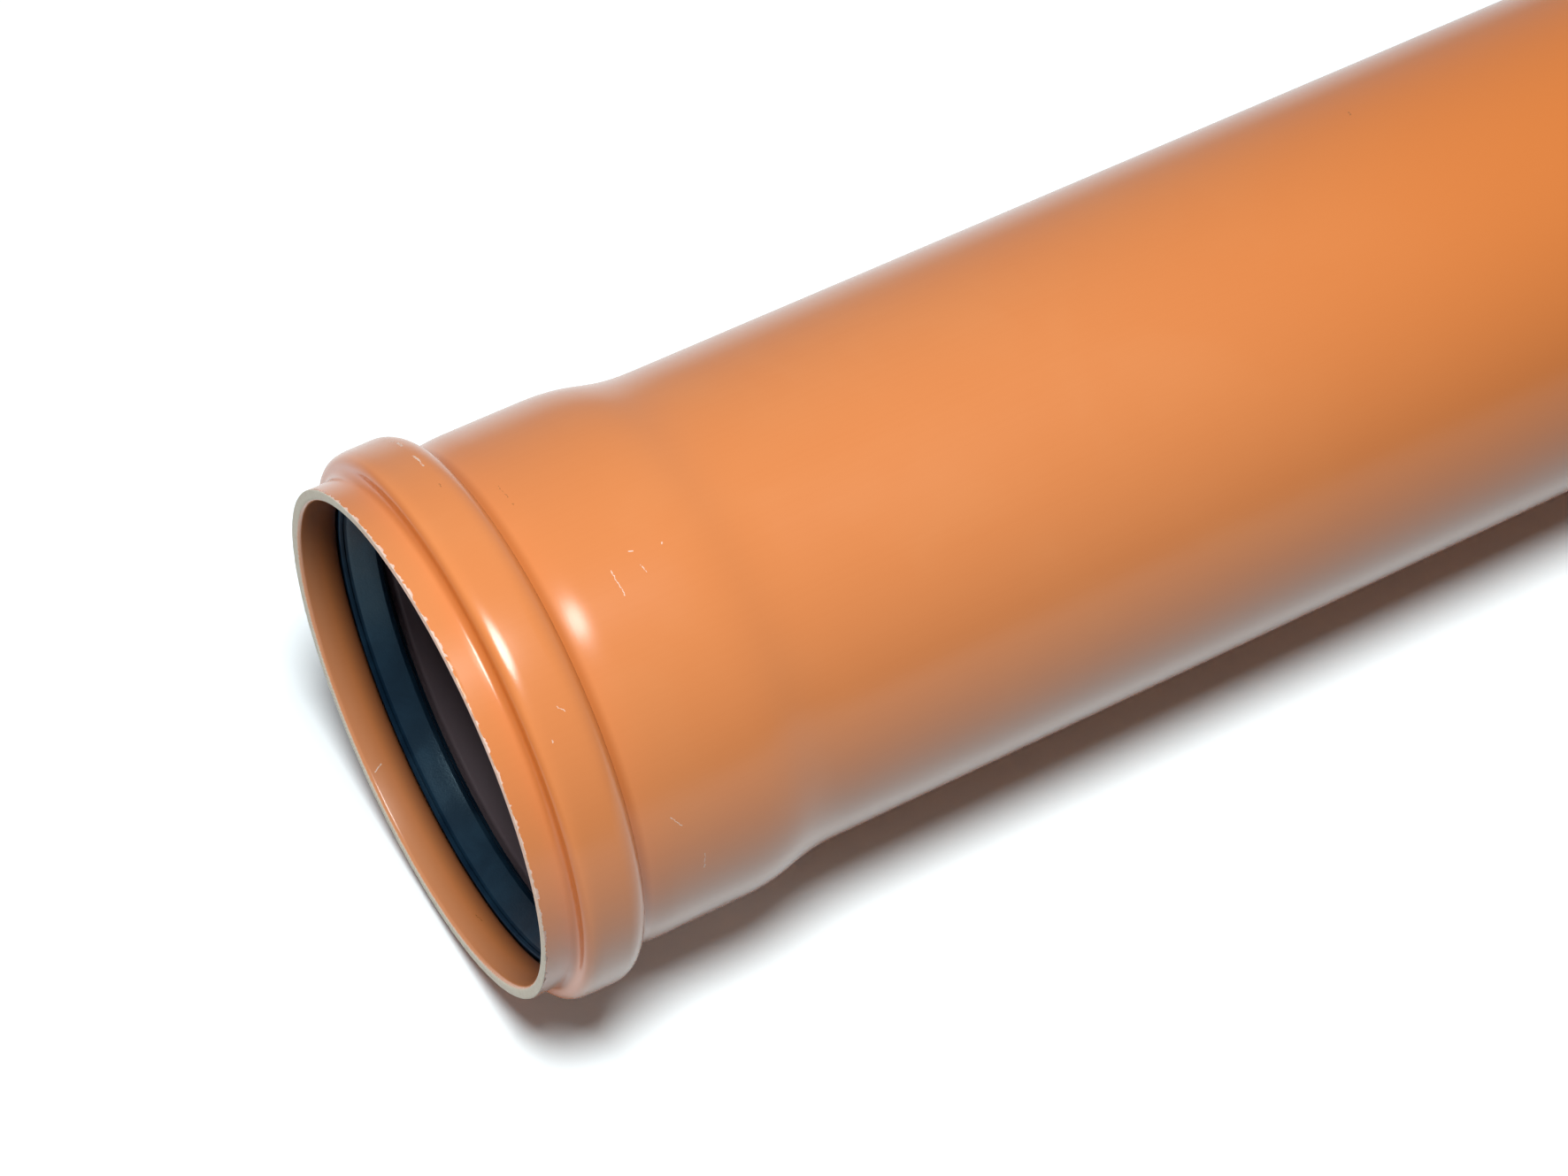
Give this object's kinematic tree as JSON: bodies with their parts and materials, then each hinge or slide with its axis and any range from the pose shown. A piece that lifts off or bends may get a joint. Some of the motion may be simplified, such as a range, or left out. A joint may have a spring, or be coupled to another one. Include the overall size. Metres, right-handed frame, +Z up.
{
  "type": "plastic waste pipe",
  "caption": "Smooth round drain pipe with a formed bell socket, a bead that holds a black lip seal, and a chamfered spigot end.",
  "frame": {"origin": "middle of the pipe's own box, on the floor it lies on", "axes": "+X along the pipe from the socket's mouth to the spigot, +Z up, with the pipe lying on its bead and its spigot end"},
  "size_m": [1.0858, 0.1838, 0.1839],
  "materials": {
    "pipe_plastic": "smooth extruded orange-brown plastic, glossy, with a pale sawn edge at the mouth",
    "seal_rubber": "black moulded rubber, satin"
  },
  "bodies": {
    "root": {"pipe": "pipe_plastic", "seal_ring": "seal_rubber"}
  },
  "joints": []
}
